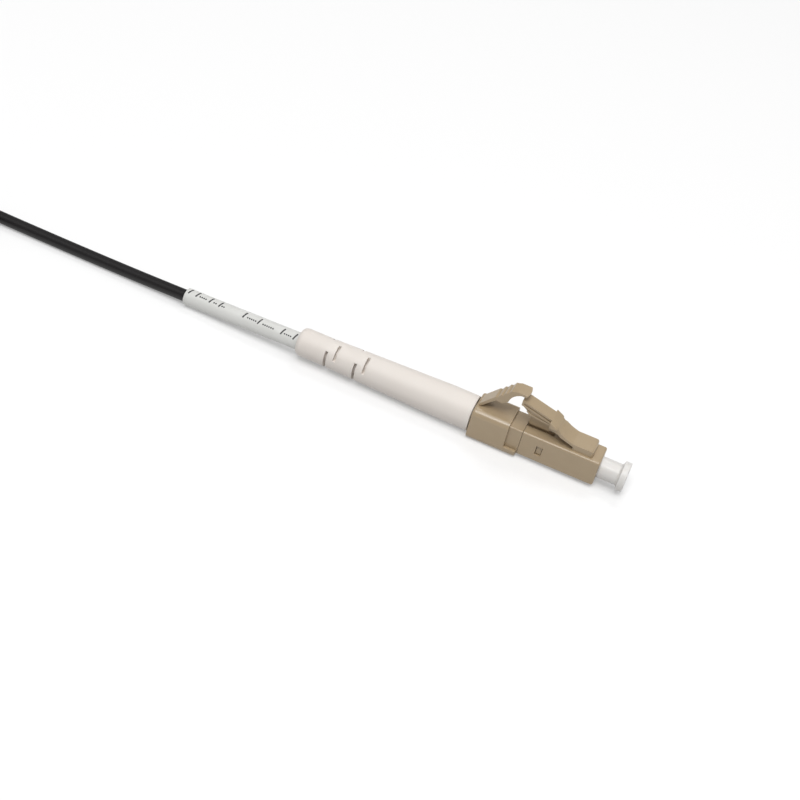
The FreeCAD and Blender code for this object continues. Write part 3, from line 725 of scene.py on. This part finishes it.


# Trigger: stepped finger face above, hollow below, rooted in the clip

trigger = dict(width=2.5, tipFront=-13.21, tipCorner=-13.45, tipLow=7.63, tipTop=8.08, rampStart=-15.05,
               rampEnd=(-15.6, 7.861), steps=3, tread=(0.32, 0.04), riser=(0.38, 0.69),
               rootTop=(-20.08, 3.3), rootLean=0.05, rootLow=(-19.92, 2.86), rootHeel=0.15, sunk=2.7,
               bend=(-17.85, 5.0), belly=(-16.8, 4.97), knee=(-15.95, 5.68), hollowEnd=(-14.25, 7.63),
               hollow=0.4, hollowSteps=12, crownSteps=17, sideRoom=0.1, stepRound=0.09, softEdge=0.06,
               bendFrom=(-20.2, 0, 3.0), bendTo=(-18.9, 0, 4.4))


def addTrigger():
    front, low, top = trigger["tipFront"], trigger["tipLow"], trigger["tipTop"]
    knee, hollowEnd = trigger["knee"], trigger["hollowEnd"]
    x, z = trigger["rampEnd"]
    stairs = []
    for i in range(trigger["steps"]):
        for run, drop in (trigger["tread"], trigger["riser"]):
            x, z = x - run, z - drop
            stairs.append((x, z))
    stairs.append((x - trigger["tread"][0], z - trigger["tread"][1]))
    rootTop, rootLow, sunk = trigger["rootTop"], trigger["rootLow"], trigger["sunk"]
    outline = [(front, low), (front, top), (trigger["rampStart"], top), trigger["rampEnd"]] + stairs
    outline += [rootTop, (rootTop[0] - trigger["rootLean"], sunk), (rootLow[0] + trigger["rootHeel"], sunk),
                rootLow, trigger["bend"], trigger["belly"], knee]
    chordX, chordZ = hollowEnd[0] - knee[0], hollowEnd[1] - knee[1]
    share = trigger["hollow"] / math.hypot(chordX, chordZ)
    middle = midway(knee, hollowEnd, 0)
    deepest = (middle[0] - chordZ * share, middle[1] + chordX * share)
    outline += arcPoints(knee, deepest, hollowEnd, trigger["hollowSteps"])
    outline.append(hollowEnd)
    lever = sideSlab("triggerArm", outline, trigger["width"])
    bevelEdges(lever, lambda middle, way: any(math.hypot(middle.x - x, middle.z - z) < near
                                              for x, z in stairs), trigger["stepRound"], segments=3)
    half, corner, room = trigger["width"] / 2, trigger["tipCorner"], trigger["sideRoom"]
    plan = [(rootTop[0] - past, half + room), (corner - room, half + room), (corner, half)]
    crown = arcPoints((corner, half), (front, 0), (corner, -half), trigger["crownSteps"])
    plan += [point for point in crown if point[1] > 0]
    combine(lever, planSlab("triggerPlan", plan, 0, top + past), "INTERSECT")
    softenEdges(lever, trigger["softEdge"])
    return lever


triggerArm = addTrigger()
finishPiece(triggerArm, plugBeige)
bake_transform(triggerArm)
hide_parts("trigger_lever")


# Dust cap: a thick tube over the ferrule with a flared flange to pull it by

cap = dict(rear=-0.8, tube=1.68, fillet=[(2.93, 1.68), (3.12, 1.74), (3.206, 1.86)], filletSteps=6,
           flange=2.32, flareFront=3.35, front=4.35, edge=0.1, bore=0.655, boreEnd=3.6, softEdge=0.05,
           sides=96)


def addCap():
    start, middle, end = cap["fillet"]
    outline = [(cap["rear"], cap["bore"]), (cap["rear"], cap["tube"] - cap["edge"]),
               (cap["rear"] + cap["edge"], cap["tube"]), start]
    outline += arcPoints(start, middle, end, cap["filletSteps"])
    outline += [end, (cap["flareFront"], cap["flange"]), (cap["front"] - cap["edge"], cap["flange"]),
                (cap["front"], cap["flange"] - cap["edge"]), (cap["front"], 0), (cap["boreEnd"], 0),
                (cap["boreEnd"], cap["bore"])]
    body = turnProfile("dustCap", outline, cap["sides"])
    softenEdges(body, cap["softEdge"], segments=3, angle=30)
    return body


dustCap = addCap()
finishPiece(dustCap, capMilky, smooth=40)
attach(dustCap, "cap")
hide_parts("dust_cap")


# Bend boot: tapered tube with two pairs of slot rings that let its end flex

boot = dict(front=-20.64, rear=-50.45, frontRadius=2.85, rearRadius=2.31, straightEnd=-24.95,
            taperEnd=-45.75, crown=0.9, crownDepth=0.5, frontRound=0.1, mouth=1.8, mouthEnd=-45.85,
            crownSteps=8, bore=1.45, socket=1.77, socketEnd=-32.65, sides=96, slotWidth=0.46, slotFloor=1.55,
            slotSteps=16, softEdge=0.05)
# Slot rings as place, turn round the axis and angle; each slot has its like on the other side
bootSlots = [(-45.2, 15, 110), (-43.65, 132, 70), (-40.2, 15, 110), (-38.65, 132, 70)]


def addSlot(x, turn, angle):
    steps = boot["slotSteps"]
    rays = [math.radians(turn - angle / 2 + angle * i / steps) for i in range(steps + 1)]
    reach, floor = 2 * boot["frontRadius"], boot["slotFloor"]
    start = x - boot["slotWidth"] / 2
    sector = drawOutline("slot", [(start, reach * math.cos(a), reach * math.sin(a)) for a in rays]
                         + [(start, floor * math.cos(a), floor * math.sin(a)) for a in reversed(rays)])
    bpy.ops.mesh.edge_face_add()
    bpy.ops.mesh.extrude_region_move(TRANSFORM_OT_translate={"value": (boot["slotWidth"], 0, 0)})
    bpy.ops.mesh.select_all(action="SELECT")
    bpy.ops.mesh.normals_make_consistent(inside=False)
    bpy.ops.object.mode_set(mode="OBJECT")
    return sector


def addBoot():
    rim = boot["rearRadius"] - boot["crownDepth"]
    crownStart = boot["rear"] + boot["crown"]
    outline = [(boot["front"], boot["socket"]), (boot["front"], boot["frontRadius"] - boot["frontRound"]),
               (boot["front"] - boot["frontRound"], boot["frontRadius"]),
               (boot["straightEnd"], boot["frontRadius"]), (boot["taperEnd"], boot["rearRadius"])]
    for i in range(boot["crownSteps"] + 1):
        turn = math.pi / 2 * i / boot["crownSteps"]
        outline.append((crownStart - boot["crown"] * math.sin(turn),
                        rim + boot["crownDepth"] * math.cos(turn)))
    outline += [(boot["rear"], boot["mouth"]), (boot["mouthEnd"], boot["mouth"]),
                (boot["mouthEnd"], boot["bore"]), (boot["socketEnd"], boot["bore"]),
                (boot["socketEnd"], boot["socket"])]
    body = turnProfile("bendBoot", outline, boot["sides"])
    for x, turn, angle in bootSlots:
        for opposite in (0, 180):
            combine(body, addSlot(x, turn + opposite, angle), "DIFFERENCE")
    softenEdges(body, boot["softEdge"], angle=50)
    return body


bendBoot = addBoot()
finishPiece(bendBoot, bootWhite, smooth=40)
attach(bendBoot, "plug")
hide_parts("boot")


# Ferrule: ground pin with a tapered lead and a gently domed end face

pin = dict(rear=-4.6, front=1.9, radius=0.625, bore=0.0675, taper=0.22, face=0.495, dome=0.02, sides=72,
           softEdge=0.03)


def addPin():
    # The dome falls a quarter as far at half the face's radius
    tip, dome, face = pin["front"], pin["dome"], pin["face"]
    outline = [(pin["rear"], pin["bore"]), (pin["rear"], pin["radius"]), (tip - pin["taper"], pin["radius"]),
               (tip - dome, face), (tip - dome / 4, face / 2), (tip, pin["bore"])]
    body = turnProfile("ferrulePin", outline, pin["sides"])
    softenEdges(body, pin["softEdge"], angle=25)
    return body


ferrulePin = addPin()
finishPiece(ferrulePin, zirconia, smooth=40)
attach(ferrulePin, "ferrule_set")
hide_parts("ferrule")


# Behind the ferrule: the spring gets a mesh of its own, and the buffer's front end leaves the fibre room

inside = dict(springRear=-7.7, springKept=0.69, buffer=0.9, bufferRear=-27.75, bufferFront=-6.16, sides=48,
              softEdge=0.03)
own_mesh(bpy.data.objects["spring"])
bufferCore = addRod("bufferCore", inside["buffer"], inside["bufferRear"], inside["bufferFront"],
                    inside["sides"])
softenEdges(bufferCore, inside["softEdge"])
finishPiece(bufferCore, bufferIvory)
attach(bufferCore, "plug")
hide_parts("tight_buffer")


# Strap round the hank: a flat loop with its free end lapped over the top

strap = dict(middleX=-131.55, width=8.0, middleY=-6.7, halfY=9.4, low=-2.86, high=1.94, thickness=0.35,
             corner=1.0, cornerSteps=6, softEdge=0.1, lapFrom=-13.0, lapTo=0.5, lap=0.3, lapSunk=0.02,
             lapInset=0.2, lapCorner=2.0, lapEdge=0.08)


def addStrap():
    inset = strap["thickness"] / 2
    side, low, high = strap["halfY"] - inset, strap["low"] + inset, strap["high"] - inset
    bend, steps = strap["corner"], strap["cornerSteps"]
    start = strap["middleX"] - strap["width"] / 2
    loop = []
    for signY, cornerZ, first in ((1, low + bend, -90), (1, high - bend, 0), (-1, high - bend, 90),
                                  (-1, low + bend, 180)):
        for i in range(steps + 1):
            turn = math.radians(first + 90 * i / steps)
            y = strap["middleY"] + signY * (side - bend) + bend * math.cos(turn)
            loop.append((start, y, cornerZ + bend * math.sin(turn)))
    band = drawOutline("hankTie", loop)
    bpy.ops.mesh.extrude_edges_move(TRANSFORM_OT_translate={"value": (strap["width"], 0, 0)})
    bpy.ops.mesh.select_all(action="SELECT")
    bpy.ops.mesh.normals_make_consistent(inside=False)
    bpy.ops.object.mode_set(mode="OBJECT")
    applyModifier(band, "SOLIDIFY", thickness=strap["thickness"], offset=0)
    softenEdges(band, strap["softEdge"], segments=3, angle=50)
    lapLow, margin = strap["high"] - strap["lapSunk"], strap["lapInset"]
    lap = addBlock("strapLap", (start + margin, strap["lapFrom"], lapLow),
                   (start + strap["width"] - margin, strap["lapTo"], lapLow + strap["lap"]))
    bevelEdges(lap, lambda middle, way: abs(way.z) > aligned and middle.y > strap["lapFrom"] + near,
               strap["lapCorner"], segments=6)
    bevelEdges(lap, lambda middle, way: middle.z > lapLow + strap["lap"] - near, strap["lapEdge"], segments=3)
    pickOnly(band)
    lap.select_set(True)
    bpy.ops.object.join()
    return band


hankTie = addStrap()
finishPiece(hankTie, strapBlack, smooth=45)
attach(hankTie, "plug")
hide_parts("hank_tie")


# Floor, light and view

studio = dict(floorSize=4.0, floor="#D8D8D8", bounce="#C8C8C8", lift=0.28, sky="#FFFFFF", world=0.34,
              aim=(-0.03, 0, 0), lamps=[
                  # place and size in metres, and the share of white that it gives a face turned to it
                  dict(name="skyBox", place=(-0.03, -0.26, 1.0), size=0.68, share=0.34),
                  dict(name="edgeBox", place=(-0.08, -0.47, 0.78), size=0.3, share=0.24),
                  dict(name="noseBox", place=(0.5, -0.12, 0.87), size=0.6, share=0.17),
                  dict(name="backBox", place=(-0.08, 0.52, 0.88), size=0.36, share=0.14)])


def addFloor():
    bpy.ops.object.select_all(action="DESELECT")
    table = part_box("trigger_clip")[0][2]  # the clip's flat underside lies on it
    bpy.ops.mesh.primitive_plane_add(size=studio["floorSize"], location=(0, 0, table))
    plane = bpy.context.object
    plane.name = "floor"
    bpy.ops.object.transform_apply(location=True, rotation=True, scale=True)
    # White card: lit and shaded as any matt surface, paler and lifted towards white where it is seen
    material = bpy.data.materials.new("whiteCard")
    material.use_nodes = True
    material.node_tree.nodes.clear()
    path = addNode(material, "LightPath", {}, {})
    seen = addNode(material, "Math", {"operation": "MAXIMUM"},
                   {0: path.outputs["Is Camera Ray"], 1: path.outputs["Is Glossy Ray"]})
    seen = addNode(material, "Math", {"operation": "MAXIMUM"},
                   {0: seen.outputs[0], 1: path.outputs["Is Transmission Ray"]})
    tone = addNode(material, "Mix", {"data_type": "RGBA"},
                   {0: seen.outputs[0], 6: fromHex(studio["bounce"]), 7: fromHex(studio["floor"])})
    matt = addNode(material, "BsdfDiffuse", {}, {"Color": tone.outputs[2]})
    lift = addNode(material, "Math", {"operation": "MULTIPLY"}, {0: seen.outputs[0], 1: studio["lift"]})
    glow = addNode(material, "Emission", {}, {"Strength": lift.outputs[0]})
    both = addNode(material, "AddShader", {}, {0: matt.outputs[0], 1: glow.outputs[0]})
    addNode(material, "OutputMaterial", {}, {"Surface": both.outputs[0]})
    plane.data.materials.append(material)


def addLamp(name, place, size, share):
    lamp = bpy.data.lights.new(name, "AREA")
    lamp.shape = "DISK"
    lamp.size = size
    aim = Vector(studio["aim"]) - Vector(place)
    lamp.energy = share * math.pi ** 2 * aim.length_squared
    holder = bpy.data.objects.new(name, lamp)
    holder.location = place
    holder.rotation_euler = aim.to_track_quat("-Z", "Y").to_euler()
    bpy.context.scene.collection.objects.link(holder)


addFloor()
for lamp in studio["lamps"]:
    addLamp(**lamp)
world = bpy.data.worlds.new("studio")
world.use_nodes = True
background = world.node_tree.nodes["Background"]
background.inputs["Color"].default_value = fromHex(studio["sky"])
background.inputs["Strength"].default_value = studio["world"]
bpy.context.scene.world = world
bpy.context.scene.view_settings.view_transform = "Standard"
print("studio set")
